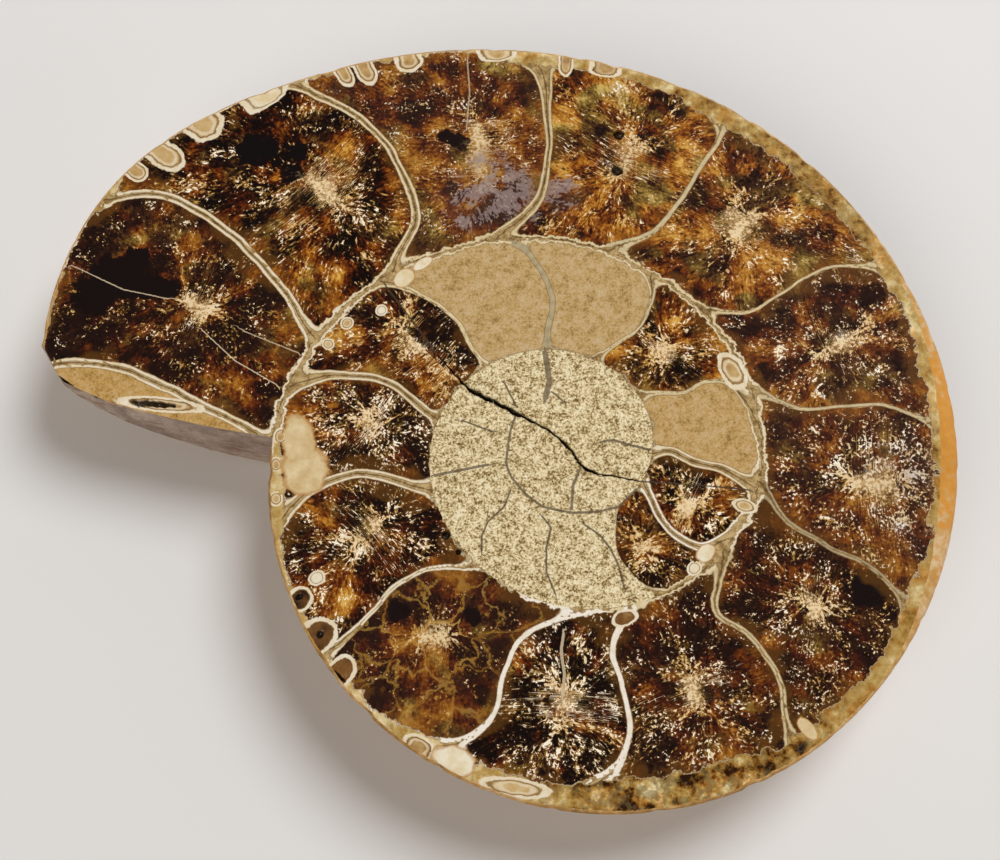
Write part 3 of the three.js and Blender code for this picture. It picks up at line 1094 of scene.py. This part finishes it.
def crystal_look(g, place, inside, stains):
    """Colour of the calcite that fills the chambers, in needles that point at a line in each, with painted
    sheen.
    """
    black, amber_stain, pale = stains
    dx, dy, seed = g.parts(g.attribute("crystal"))
    flecks = g.parts(g.attribute("filling"))[2]
    amber, gold, haze = g.parts(g.attribute("growth"))
    x, y, _ = g.parts(place)
    flat = g.joined(x, y, g.times(seed, 3.1))
    away = g.joined(dx, dy, 0)
    reach = g.vector("LENGTH", away)
    near_centre = g.calc("EXPONENT", g.times(reach, -0.4))

    needles, lot2, lot3 = needle_swing(g, flat, away)
    dots = g.swing(flat, 3.3, 2, 0.65)

    patch = g.swing(flat, 0.3, 3, 0.6)
    heading = g.scaled(g.vector("NORMALIZE", away), 2.4)
    arms = g.swing(g.vector("ADD", heading, g.joined(0, 0, g.times(seed, 5.3))), 1.0, 2)
    hue = g.swing(flat, 0.24, 1)
    tone = g.add(
        g.times(patch, 1.9), g.times(arms, 0.9), g.times(g.less(lot3, 0.5), 0.16),
        g.times(dots, 0.7), g.times(needles, g.add(0.2, g.times(gold, 0.6))),
        g.times(amber, 0.55), g.times(amber_stain, 0.42),
        g.times(near_centre, 0.12), 0.05,
    )
    tone = g.less(tone, g.times(black, 0.5))
    body, dull = crystal_body(g, tone, hue, gold)
    cluster = g.swing(flat, 0.5, 2)
    crowd = g.add(
        g.times(flecks, 0.12), g.times(near_centre, 0.09), g.times(cluster, 0.45),
        g.times(pale, 0.07), g.times(arms, 0.12),
    )
    crowd = g.less(crowd, g.times(black, 0.22))
    limit = g.less(0.222, crowd)
    clear = g.step(inside, 0.0, 0.6)
    long = g.add(g.less(needles, 0.02), g.times(dull, g.less(g.times(near_centre, 0.1), 0.07)))
    short = g.less(dots, g.less(0.05, g.times(dull, 0.06)))
    over = g.less(g.calc("MAXIMUM", long, short), limit)
    fleck = g.times(g.step(over, 0, 0.035), clear)
    zone = g.step(g.add(cluster, g.times(arms, 0.8), g.times(near_centre, 0.22)), -0.02, 0.16)
    gild = g.add(0.08, g.times(g.times(gold, 0.62), zone), g.times(near_centre, 0.35))
    shine = g.times(g.step(over, -0.1, 0.02), gild)
    golden = g.ramp(
        g.add(hue, g.times(g.less(lot2, 0.5), 0.3), g.times(cluster, 0.8), 0.5),
        (0.25, paint(206, 166, 88)), (0.5, paint(202, 152, 64)), (0.75, paint(158, 102, 38)),
    )
    cream = g.ramp(
        g.add(g.times(dots, 1.3), g.times(near_centre, 0.3), lot3, g.times(g.less(flecks, 0.65), 1.2)),
        (0.1, paint(198, 152, 84)), (0.45, paint(230, 202, 150)), (0.9, paint(253, 246, 226)),
    )
    dark = g.times(g.step(needles, -0.06, -0.15), g.less(0.75, g.times(amber_stain, 0.5)))
    colour = g.blend(dark, body, paint(14, 7, 8))
    colour = g.blend(g.times(shine, clear), colour, golden)
    colour = g.blend(fleck, colour, cream)
    ragged = g.add(g.times(arms, 7), g.times(dots, 3.5), g.times(needles, 5), g.times(cluster, 3))
    frayed = g.less(reach, ragged)
    colour = g.blend(g.times(g.step(frayed, 1.0, 0.0), 0.5), colour, paint(206, 158, 80))
    heart = g.times(g.step(frayed, 0.35, -0.15), g.step(dots, -0.1, 0.02))
    colour = g.cover(colour, heart, 0.85, paint(238, 216, 174))
    bent = g.vector("ADD", flat, g.joined(g.times(patch, 6), g.times(arms, 4), 0))
    seam = g.cells(bent, 0.3, "Distance", "DISTANCE_TO_EDGE")
    seamed = g.times(g.step(g.add(seam, g.times(dots, 0.25)), 0.07, 0.0), g.step(flecks, 0.3, 0.15))
    colour = g.blend(g.times(seamed, g.add(0.35, g.times(near_centre, 0.5))), colour, golden)
    # Painted sheen: where a sheen share is given, mauve flakes and a brownish veil stand in for a reflection
    # on the polished crystals.
    painted_sheen_flakes = g.step(g.add(haze, g.times(needles, 3), g.times(cluster, 4), g.times(dots, 1.5)), 0.55, 0.8)
    painted_sheen_flakes = g.times(painted_sheen_flakes, g.step(haze, 0.1, 0.5))
    colour = g.cover(colour, painted_sheen_flakes, 0.75, paint(158, 142, 140))
    painted_sheen_veil = g.times(g.calc("MINIMUM", haze, 0.5), 0.5)
    return g.blend(painted_sheen_veil, colour, paint(96, 66, 58))


def grain_look(g, place, mottle, grit):
    """Fine granular infill of the innermost whorls."""
    colour = g.ramp(
        g.add(g.times(grit, 1.5), g.times(mottle, 0.6), -0.535),
        (0.3, paint(104, 82, 46)), (0.41, paint(164, 140, 92)), (0.5, paint(210, 191, 146)),
        (0.6, paint(228, 212, 170)), (0.72, paint(242, 232, 202)),
    )
    speck = g.step(g.cells(place, 2.6, "Distance"), 0.2, 0.1)
    return g.cover(colour, speck, 0.5, paint(86, 76, 50))


def mud_look(g, place, look, mottle, grit, rough):
    """Smooth hardened mud, more ochre where it holds more amber."""
    colour = g.ramp(
        g.add(g.times(rough, 0.3), g.times(mottle, 0.3), g.times(grit, 0.6), 0.07),
        (0.36, toned(look.mud_colour, 0.42)), (0.5, toned(look.mud_colour, 1.0)),
        (0.62, toned(look.mud_colour, 1.16)),
    )
    ochre = g.parts(g.attribute("growth"))[0]
    colour = g.blend(g.times(ochre, 0.8), colour, g.blend(1.0, colour, (0.98, 0.84, 0.58, 1), "MULTIPLY"))
    dark = g.step(g.cells(place, 0.9, "Distance"), 0.16, 0.08)
    return g.cover(colour, dark, 0.4, paint(96, 70, 42))


def leaf_colour(g, look, tone, mottle):
    """Shell of the walls, from greenish grey through cream to white."""
    mottled = g.add(tone, g.times(g.less(mottle, 0.5), 0.6))
    wall = look.wall_colour
    return g.ramp(
        mottled,
        (0.0, toned(wall, 0.36)), (0.3, toned(wall, 0.68)), (0.6, toned(wall, 1.0)),
        (0.85, toned(wall, 1.35)), (1.0, toned(wall, 1.6)),
    )


def margin_look(g, place, tone, rubble, mottle):
    """Mixed infill between the last whorl's crystals and its shell."""
    lumps = g.swing(place, 0.5, 5, 0.66)
    mixed = g.add(tone, g.times(lumps, g.add(1.6, g.times(rubble, 2.6))), -0.08)
    colour = g.ramp(
        mixed,
        (0.0, paint(40, 20, 8)), (0.2, paint(106, 68, 22)), (0.42, paint(160, 122, 58)),
        (0.68, paint(190, 160, 96)), (1.0, paint(232, 214, 166)),
    )
    rusty = g.step(g.noise(place, 0.34, 2), 0.54, 0.62)
    colour = g.blend(g.times(rusty, 0.6), colour, g.blend(1.0, colour, (1.1, 0.8, 0.5, 1), "MULTIPLY"))
    crumb = g.step(g.add(mottle, g.times(lumps, 0.5)), 0.5, 0.58)
    return g.blend(g.times(crumb, g.times(rubble, 0.6)), colour, paint(104, 92, 60))


def nearest_wall(g, walls):
    """Distance and form of the nearest of several walls given as (distance, form)."""
    nearest, form = walls[0]
    for distance, other in walls[1:]:
        closer = g.calc("LESS_THAN", distance, nearest)
        form = g.blend(closer, form, other)
        nearest = g.calc("MINIMUM", distance, nearest)
    return form


def with_lobes(g, look, colour, rough, mottle):
    """The frilled lobes and knobs laid over the cut."""
    u, v, within = g.parts(g.attribute("lobe"))
    size = g.add(g.vector("LENGTH", g.joined(u, v, 0)), g.times(rough, 0.5))
    bare = g.calc("GREATER_THAN", within, 1.5)
    core = g.ramp(
        g.add(g.less(within, g.times(bare, 2)), g.times(rough, 0.6)),
        (0.0, paint(40, 24, 16)), (0.3, paint(124, 86, 46)), (0.55, paint(196, 162, 106)),
        (0.85, paint(224, 206, 164)), (1.0, paint(236, 228, 204)),
    )
    colour = g.blend(g.step(size, 0.8, 0.74), colour, core)
    leafed = g.less(1, bare)
    rusty = g.ring(size, 0.76, 0.12, 0.02)
    colour = g.blend(g.times(g.times(rusty, 0.6), bare), colour, paint(178, 124, 58))
    groove = g.ring(size, 0.7, 0.09, 0.03)
    colour = g.blend(g.times(g.times(groove, 0.7), leafed), colour, paint(112, 78, 40))
    pale_lobe = leaf_colour(g, look, 0.78, mottle)
    second = g.times(g.ring(size, 0.5, 0.12, 0.06), g.step(within, 0.4, 0.5))
    colour = g.blend(g.times(g.times(second, 0.6), leafed), colour, pale_lobe)
    lobe_leaf = g.ring(size, 0.88, 0.17, 0.09)
    return g.blend(g.times(lobe_leaf, leafed), colour, pale_lobe)


def with_veins(g, colour, fine):
    """The veins and the closed ends of the crack laid over the cut."""
    distance, half_width, vein_tone = g.parts(g.attribute("vein"))
    off_vein = g.less(g.calc("ABSOLUTE", g.add(distance, g.times(fine, 0.12))), half_width)
    vein = g.times(g.step(off_vein, 0.04, -0.02), g.step(distance, 4.0, 2.0))
    vein_colour = g.ramp(
        vein_tone, (0.0, paint(40, 26, 16)), (0.35, paint(112, 98, 78)), (0.8, paint(218, 200, 168)),
    )
    return g.blend(g.times(vein, 0.85), colour, vein_colour)


def cut_material(look):
    """The sawn and polished face: crystals, mud and grains between pale walls."""
    g = Graph("polished_cut")
    place = g.millimetres()
    mottle = g.noise(place, 1.3, 3)
    grit = g.noise(place, 4.6, 3, 0.7)
    rough = g.swing(place, 0.8, 3, 0.6)
    slow = g.swing(place, 0.22, 1)
    fine = g.swing(place, 3.0, 1)
    before, after, across = g.parts(g.attribute("chamber_gaps"))
    inner, outer, _ = g.parts(g.attribute("whorl_gaps"))
    rim_gap, rim_tone, rubble = g.parts(g.attribute("margin"))
    forms = [g.attribute(n) for n in ("wall_before", "wall_after", "whorl_inside", "whorl_outside")]
    gaps = [g.parts(form)[0] for form in forms]

    ends = g.calc("POWER", g.calc("ABSOLUTE", g.less(g.times(across, 2), 1)), 6)
    sway = g.add(g.times(slow, 0.7), g.times(rough, g.add(0.18, g.times(ends, 0.9))), g.times(fine, 0.08))
    frill = g.add(g.times(slow, 1.0), g.times(rough, 1.5), g.times(fine, 0.35))
    middles = [g.add(before, sway), g.less(after, sway), g.add(inner, frill), g.less(outer, frill)]
    sides = [g.less(middle, gap) for middle, gap in zip(middles, gaps)]
    free = g.add(rim_gap, g.times(rough, 2.4), g.times(slow, 1.5))
    outside = g.calc("MINIMUM", sides[3], free)
    inside = g.calc("SMOOTH_MIN", sides[0], sides[1], CORNER_ROUNDING)
    whorl = g.calc("SMOOTH_MIN", sides[2], outside, CORNER_ROUNDING)
    inside = g.calc("SMOOTH_MIN", inside, whorl, CORNER_ROUNDING)
    rim_form = g.joined(0, 0.05, rim_tone)
    form = nearest_wall(g, [*zip(sides, forms), (free, rim_form)])
    gap, leaf, tone = g.parts(form)
    in_margin = g.calc("LESS_THAN", free, 0.0)

    stains = g.parts(g.attribute("stain"))
    black = g.step(g.add(stains[0], g.times(rough, 1.1)), 0.42, 0.6)
    colour = crystal_look(g, place, inside, (black, stains[1], stains[2]))
    colour = g.cover(colour, black, 0.72, paint(16, 12, 14))
    lining = g.step(g.add(inside, g.times(slow, 7), g.times(rough, 3)), 1.2, 0.0)
    colour = g.cover(colour, lining, 0.25, paint(146, 96, 34))

    mud, grains, _ = g.parts(g.attribute("filling"))
    colour = g.blend(mud, colour, mud_look(g, place, look, mottle, grit, rough))
    colour = g.blend(grains, colour, grain_look(g, place, mottle, grit))

    between = g.ramp(
        g.add(g.times(mottle, 0.6), g.times(grit, 0.4), g.times(tone, 0.15)),
        (0.4, paint(98, 74, 42)), (0.54, paint(150, 122, 76)), (0.68, paint(196, 170, 120)),
    )
    crease = g.calc("MINIMUM", g.calc("ABSOLUTE", middles[0]), g.calc("ABSOLUTE", middles[1]))
    crease = g.calc("MINIMUM", crease, g.calc("ABSOLUTE", g.add(inner, frill)))
    crease = g.times(g.step(g.add(crease, g.times(fine, 0.15)), 0.1, 0.04), g.step(gap, 0.1, 0.25))
    between = g.blend(g.times(crease, 0.7), between, paint(70, 48, 26))
    between = g.blend(in_margin, between, margin_look(g, place, rim_tone, rubble, mottle))
    walled = g.less(1, grains)
    colour = g.blend(g.times(g.step(inside, 0.03, -0.03), walled), colour, between)
    off = g.less(g.calc("ABSOLUTE", inside), leaf)
    leaves = leaf_colour(g, look, tone, mottle)
    shade = g.blend(g.step(off, -0.09, 0.03), leaves, paint(128, 98, 60))
    colour = g.blend(g.times(g.step(off, 0.07, -0.01), walled), colour, shade)
    shell = g.times(g.step(g.add(outer, g.times(fine, 0.3)), 0.35, 0.25), g.step(free, 1.0, 0.0))
    colour = g.blend(g.times(shell, 0.85), colour, leaf_colour(g, look, 0.75, mottle))

    colour = with_lobes(g, look, colour, rough, mottle)
    colour = with_veins(g, colour, fine)

    # Painted shade: faces sunk below the cut, in the open crack and the hollows, are darkened almost to
    # black. The same mask makes them rougher.
    sunk_shaded = g.step(g.parts(place)[2], THICKNESS - 0.02, THICKNESS - 0.3)
    colour = g.cover(colour, sunk_shaded, 0.92, paint(20, 12, 8))

    grainy = g.calc("MAXIMUM", mud, grains)
    roughness = g.add(0.3, g.times(grainy, 0.2), g.times(sunk_shaded, 0.3), g.times(rough, 0.1))
    return g.finish(
        colour, roughness, g.noise(place, 5.0, 2), 3e-6, coat=0.8, coat_roughness=0.08, specular=0.2,
    )


# ---------------------------------------------------------------- shell and broken wall

def shell_material(look):
    """The weathered outside: orange-tan shell with growth lines, paler along the cut from wear and a painted
    highlight.
    """
    g = Graph("outer_shell")
    place = g.millimetres()
    turn, across, _ = g.parts(g.attribute("coil"))
    degrees = g.times(turn, 360)
    soft = g.noise(place, 0.16, 4, 0.6)
    fine = g.noise(place, 1.4, 4, 0.6)
    base = g.ramp(
        g.add(g.times(soft, 0.75), g.times(fine, 0.25)),
        (0.28, toned(look.shell_colour, 0.3)), (0.42, toned(look.shell_colour, 0.65)),
        (0.52, toned(look.shell_colour, 1.0)), (0.62, toned(look.shell_colour, 1.2)),
        (0.75, toned(look.shell_colour, 1.45)),
    )
    sickle = g.add(degrees, g.times(across, SICKLE_LEAN))
    sickle = g.less(sickle, g.times(g.calc("SINE", g.times(across, SICKLE_WAVES)), SICKLE_BEND))
    lines = g.noise(g.joined(g.times(sickle, 1.2), g.times(across, 2.5), turn), 1.0, 3, 0.7)
    line_mask = g.step(lines, 0.5, 0.72)
    colour = g.blend(g.times(line_mask, 0.45), base, paint(104, 62, 30))
    height = g.parts(place)[2]
    # Paler band along the cut: partly wear of the shell's edge, partly a painted highlight along the rim.
    worn_and_highlight = g.step(g.add(height, g.times(g.less(fine, 0.5), 1.5)), THICKNESS - 1.3, THICKNESS - 0.1)
    pale = g.ramp(
        g.add(g.times(fine, 0.6), g.times(soft, 0.4)),
        (0.36, paint(146, 106, 54)), (0.5, paint(184, 148, 90)), (0.62, paint(210, 182, 130)),
    )
    colour = g.blend(g.times(worn_and_highlight, 0.6), colour, pale)
    off_patch = g.calc("ABSOLUTE", g.less(degrees, WIDE_BAND_TURN + 4))
    patch = g.step(g.add(off_patch, g.times(g.less(fine, 0.5), 60)), 18, 8)
    patch = g.times(patch, g.step(height, THICKNESS - 3, THICKNESS - 1.2))
    colour = g.cover(colour, patch, 0.7, paint(214, 146, 56))
    bumps = g.add(g.times(lines, 0.8), g.times(fine, 0.4))
    roughness = g.add(0.5, g.times(fine, 0.3))
    return g.finish(colour, roughness, bumps, 6e-5, specular=0.2)


def break_material():
    """The broken wall at the aperture: grey-mauve stone with brown streaks."""
    g = Graph("broken_stone")
    place = g.millimetres()
    fine = g.noise(place, 2.2, 4, 0.65)
    soft = g.noise(place, 0.35, 3)
    x, y, z = g.parts(place)
    streak = g.noise(g.joined(g.times(x, 0.25), g.times(y, 0.25), g.times(z, 1.3)), 1.0, 3)
    base = g.ramp(
        g.add(g.times(soft, 0.6), g.times(fine, 0.4)),
        (0.3, paint(112, 96, 86)), (0.5, paint(160, 142, 130)), (0.7, paint(198, 180, 162)),
    )
    colour = g.blend(g.times(g.step(streak, 0.5, 0.66), 0.6), base, paint(124, 84, 50))
    roughness = g.add(0.6, g.times(fine, 0.3))
    return g.finish(colour, roughness, fine, 1.2e-4)


# ---------------------------------------------------------------- operators

class FossilLook(bpy.types.PropertyGroup):
    crack_width: bpy.props.FloatProperty(
        name="Crack width", description="Width of the open crack through the core",
        default=0.0005, min=0, unit="LENGTH",
    )
    crack_depth: bpy.props.FloatProperty(
        name="Crack depth", description="Depth of the open crack", default=0.0007, min=0, unit="LENGTH",
    )
    wall_colour: bpy.props.FloatVectorProperty(
        name="Wall colour", description="Colour of the pale walls between the chambers",
        default=paint(221, 203, 160)[:3], size=3, min=0, max=1, subtype="COLOR",
    )
    mud_colour: bpy.props.FloatVectorProperty(
        name="Mud colour", description="Colour of the chambers filled with hardened mud",
        default=paint(190, 159, 102)[:3], size=3, min=0, max=1, subtype="COLOR",
    )
    shell_colour: bpy.props.FloatVectorProperty(
        name="Shell colour", description="Main colour of the outside of the shell",
        default=paint(201, 149, 82)[:3], size=3, min=0, max=1, subtype="COLOR",
    )


class StageLook(bpy.types.PropertyGroup):
    floor_colour: bpy.props.FloatVectorProperty(
        name="Floor colour", description="Colour of the pale floor",
        default=paint(229, 230, 231)[:3], size=3, min=0, max=1, subtype="COLOR",
    )
    elevation: bpy.props.FloatProperty(
        name="Camera height", description="Angle of the camera above the cut",
        default=math.radians(73), subtype="ANGLE",
    )
    distance: bpy.props.FloatProperty(
        name="Camera distance", description="From the camera to the cut",
        default=0.13, min=0.05, unit="LENGTH",
    )


class BuildAmmonite(bpy.types.Operator):
    """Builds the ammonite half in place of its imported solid"""

    bl_idname = "ammonite.build_half"
    bl_label = "Build ammonite half"

    def execute(self, context):
        look = context.scene.ammonite_fossil
        bm = bmesh.new()
        bm.faces.layers.float.new(TURN_LAYER)
        add_sheet(bm, NOTCH - 360, LAST, FACE_ROWS, cut_place, CUT)
        add_sheet(bm, NOTCH, LAST, BEVEL_ROWS, bevel_place, SHELL)
        add_sheet(bm, NOTCH, LAST, FLANK_ROWS, outer_flank_place, SHELL)
        add_sheet(bm, LAST - 360 * BACK_WHORLS, LAST, BACK_ROWS, inner_flank_place, SHELL)
        bmesh.ops.remove_doubles(bm, verts=bm.verts, dist=WELD)
        close_body(bm)
        carve(bm, look)
        roughen(bm)
        bmesh.ops.recalc_face_normals(bm, faces=bm.faces)
        mesh = bpy.data.meshes.new("ammonite")
        bm.to_mesh(mesh)
        bm.free()
        if mesh.validate():
            raise RuntimeError("the ammonite's mesh is not sound")
        write_attributes(mesh)
        axis_x, axis_y = coil_axis()
        mesh.transform(Matrix.Scale(MM, 4) @ Matrix.Translation((axis_x, axis_y, 0)))
        mesh.attributes.remove(mesh.attributes[TURN_LAYER])
        for material in (cut_material(look), shell_material(look), break_material()):
            mesh.materials.append(material)
        mesh.shade_smooth()
        mesh.set_sharp_from_angle(angle=math.radians(35))
        body = bpy.data.objects.new("ammonite", mesh)
        context.scene.collection.objects.link(body)
        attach(body, "root")
        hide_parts(NODE)
        return {"FINISHED"}


class SetStage(bpy.types.Operator):
    """Sets the camera, the pale floor and the soft lights"""

    bl_idname = "ammonite.set_stage"
    bl_label = "Set stage"

    def execute(self, context):
        look = context.scene.ammonite_stage
        axis_x, axis_y = coil_axis()
        target = Vector((axis_x + LOOKED_AT[0], axis_y + LOOKED_AT[1], THICKNESS)) * MM
        angle = look.elevation
        data = bpy.data.cameras.new("view")
        data.lens = LENS
        data.sensor_width = SENSOR
        data.clip_start = 0.005
        camera = bpy.data.objects.new("view", data)
        camera.location = target + look.distance * Vector((0, -math.cos(angle), math.sin(angle)))
        camera.rotation_euler = (math.pi / 2 - angle, 0, 0)
        context.scene.collection.objects.link(camera)
        context.scene.camera = camera

        floor_mesh = bpy.data.meshes.new("floor")
        bm = bmesh.new()
        bmesh.ops.create_grid(bm, x_segments=1, y_segments=1, size=FLOOR_HALF)
        bm.to_mesh(floor_mesh)
        bm.free()
        floor = bpy.data.objects.new("floor", floor_mesh)
        g = Graph("pale_paper")
        place = g.millimetres()
        tint = g.blend(g.noise(place, 0.02, 2), (*look.floor_colour, 1), paint(226, 227, 228))
        floor_mesh.materials.append(g.finish(tint, 0.7, g.noise(place, 0.6, 3), 2e-5, specular=0.2))
        context.scene.collection.objects.link(floor)

        for light in LIGHTS:
            add_light(context, light)
        context.scene.world = room_world()
        context.scene.view_settings.view_transform = "Standard"
        return {"FINISHED"}


def room_world():
    """A dim room, brighter and cooler towards the window and warm on the other side."""
    world = bpy.data.worlds.new("room")
    world.use_nodes = True
    tree = world.node_tree
    background = tree.nodes["Background"]
    place = tree.nodes.new("ShaderNodeTexCoord").outputs["Generated"]
    side = tree.nodes.new("ShaderNodeVectorMath")
    side.operation = "DOT_PRODUCT"
    side.inputs[1].default_value = (0.2, 0.3, -0.9)
    tree.links.new(place, side.inputs[0])
    level = tree.nodes.new("ShaderNodeMath")
    level.inputs[1].default_value = 0.5
    tree.links.new(side.outputs["Value"], level.inputs[0])
    ramp = tree.nodes.new("ShaderNodeValToRGB")
    tree.links.new(level.outputs[0], ramp.inputs[0])
    marks = ramp.color_ramp.elements
    marks[0].position, marks[0].color = 0.0, (0.06, 0.046, 0.036, 1)
    marks[1].position, marks[1].color = 0.6, (0.9, 0.88, 0.86, 1)
    tree.links.new(ramp.outputs[0], background.inputs[0])
    return world


def add_light(context, light):
    data = bpy.data.lights.new(light.name, "AREA")
    data.shape = "DISK"
    data.size = light.size
    data.energy = light.power
    data.color = light.colour
    lamp = bpy.data.objects.new(light.name, data)
    lamp.location = light.place
    lamp.rotation_euler = (Vector((0, 0, 0)) - Vector(light.place)).to_track_quat("-Z", "Y").to_euler()
    lamp.visible_glossy = light.mirrored
    context.scene.collection.objects.link(lamp)


class AmmonitePanel(bpy.types.Panel):
    """Lists the steps that build the fossil"""

    bl_idname = "VIEW3D_PT_ammonite"
    bl_label = "Ammonite half"
    bl_space_type = "VIEW_3D"
    bl_region_type = "UI"
    bl_category = "Ammonite"

    def draw(self, context):
        for group in (context.scene.ammonite_fossil, context.scene.ammonite_stage):
            for name in group.__annotations__:
                self.layout.prop(group, name)
        for operator in (SetStage, BuildAmmonite):
            self.layout.operator(operator.bl_idname)


CLASSES = (FossilLook, StageLook, BuildAmmonite, SetStage, AmmonitePanel)


def register():
    for made in CLASSES:
        bpy.utils.register_class(made)
    bpy.types.Scene.ammonite_fossil = bpy.props.PointerProperty(type=FossilLook)
    bpy.types.Scene.ammonite_stage = bpy.props.PointerProperty(type=StageLook)


def unregister():
    del bpy.types.Scene.ammonite_stage
    del bpy.types.Scene.ammonite_fossil
    for made in reversed(CLASSES):
        bpy.utils.unregister_class(made)


def main():
    register()
    bpy.ops.ammonite.set_stage()
    bpy.ops.ammonite.build_half()


if __name__ == "__main__":
    main()
